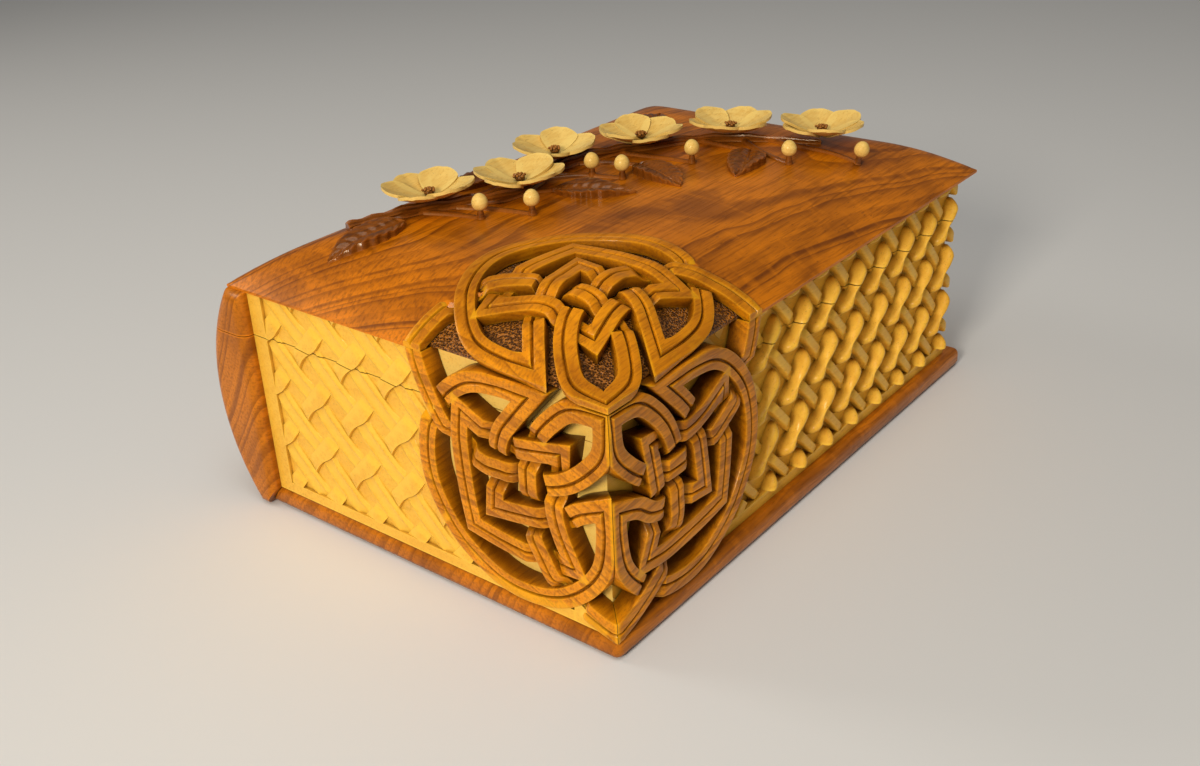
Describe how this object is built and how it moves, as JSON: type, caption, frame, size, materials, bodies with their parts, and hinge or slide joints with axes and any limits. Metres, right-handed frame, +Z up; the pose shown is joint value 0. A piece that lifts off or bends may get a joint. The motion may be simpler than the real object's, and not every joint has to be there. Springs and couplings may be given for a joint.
{
  "type": "wooden book box",
  "caption": "Hinged wooden box in the form of a thick closed book, with interlace knots at one corner, basket-weave page edges and a floral spray on its domed cover.",
  "frame": {"origin": "middle of the box's outline seen from above, on the underside of the base board", "axes": "+Z up, +Y along the spine from the book's tail to its head, +X from the spine to the fore-edge"},
  "size_m": [0.157, 0.218, 0.1003],
  "materials": {
    "walnut": "satin",
    "walnut_dark": "satin",
    "pale_wood": "satin",
    "blossom_wood": "satin",
    "brass": "satin"
  },
  "bodies": {
    "body": {"base_board": "walnut", "tail_wall": "pale_wood", "fore_edge_wall": "pale_wood", "head_wall": "pale_wood", "spine_lower": "walnut", "tail_knot": "walnut", "fore_edge_knot": "walnut", "hinge_1_body_leaf": "brass", "hinge_1_pin": "brass", "hinge_1_body_screw_1": "brass", "hinge_1_body_screw_2": "brass", "hinge_2_body_leaf": "brass", "hinge_2_pin": "brass", "hinge_2_body_screw_1": "brass", "hinge_2_body_screw_2": "brass"},
    "lid": {"cover_board": "walnut", "lid_tail_wall": "pale_wood", "lid_fore_edge_wall": "pale_wood", "lid_head_wall": "pale_wood", "spine_upper": "walnut", "vine": "walnut_dark", "leaf_1": "walnut_dark", "leaf_2": "walnut_dark", "leaf_3": "walnut_dark", "leaf_4": "walnut_dark", "leaf_5": "walnut_dark", "leaf_6": "walnut_dark", "leaf_7": "walnut_dark", "blossom_1": "blossom_wood", "blossom_2": "blossom_wood", "blossom_3": "blossom_wood", "blossom_4": "blossom_wood", "blossom_5": "blossom_wood", "blossom_6": "blossom_wood", "blossom_1_centre": "walnut_dark", "blossom_2_centre": "walnut_dark", "blossom_3_centre": "walnut_dark", "blossom_4_centre": "walnut_dark", "blossom_5_centre": "walnut_dark", "blossom_6_centre": "walnut_dark", "berry_1": "blossom_wood", "berry_2": "blossom_wood", "berry_3": "blossom_wood", "berry_4": "blossom_wood", "berry_5": "blossom_wood", "berry_6": "blossom_wood", "berry_7": "blossom_wood", "hinge_1_lid_leaf": "brass", "hinge_1_lid_screw_1": "brass", "hinge_1_lid_screw_2": "brass", "hinge_2_lid_leaf": "brass", "hinge_2_lid_screw_1": "brass", "hinge_2_lid_screw_2": "brass"}
  },
  "joints": [
    {"name": "lid_hinge", "type": "hinge", "parent": "body", "child": "lid", "pos_m": [-0.0739, 0, 0.061], "axis": [0, -1, 0], "range_deg": [0, 100]}
  ]
}
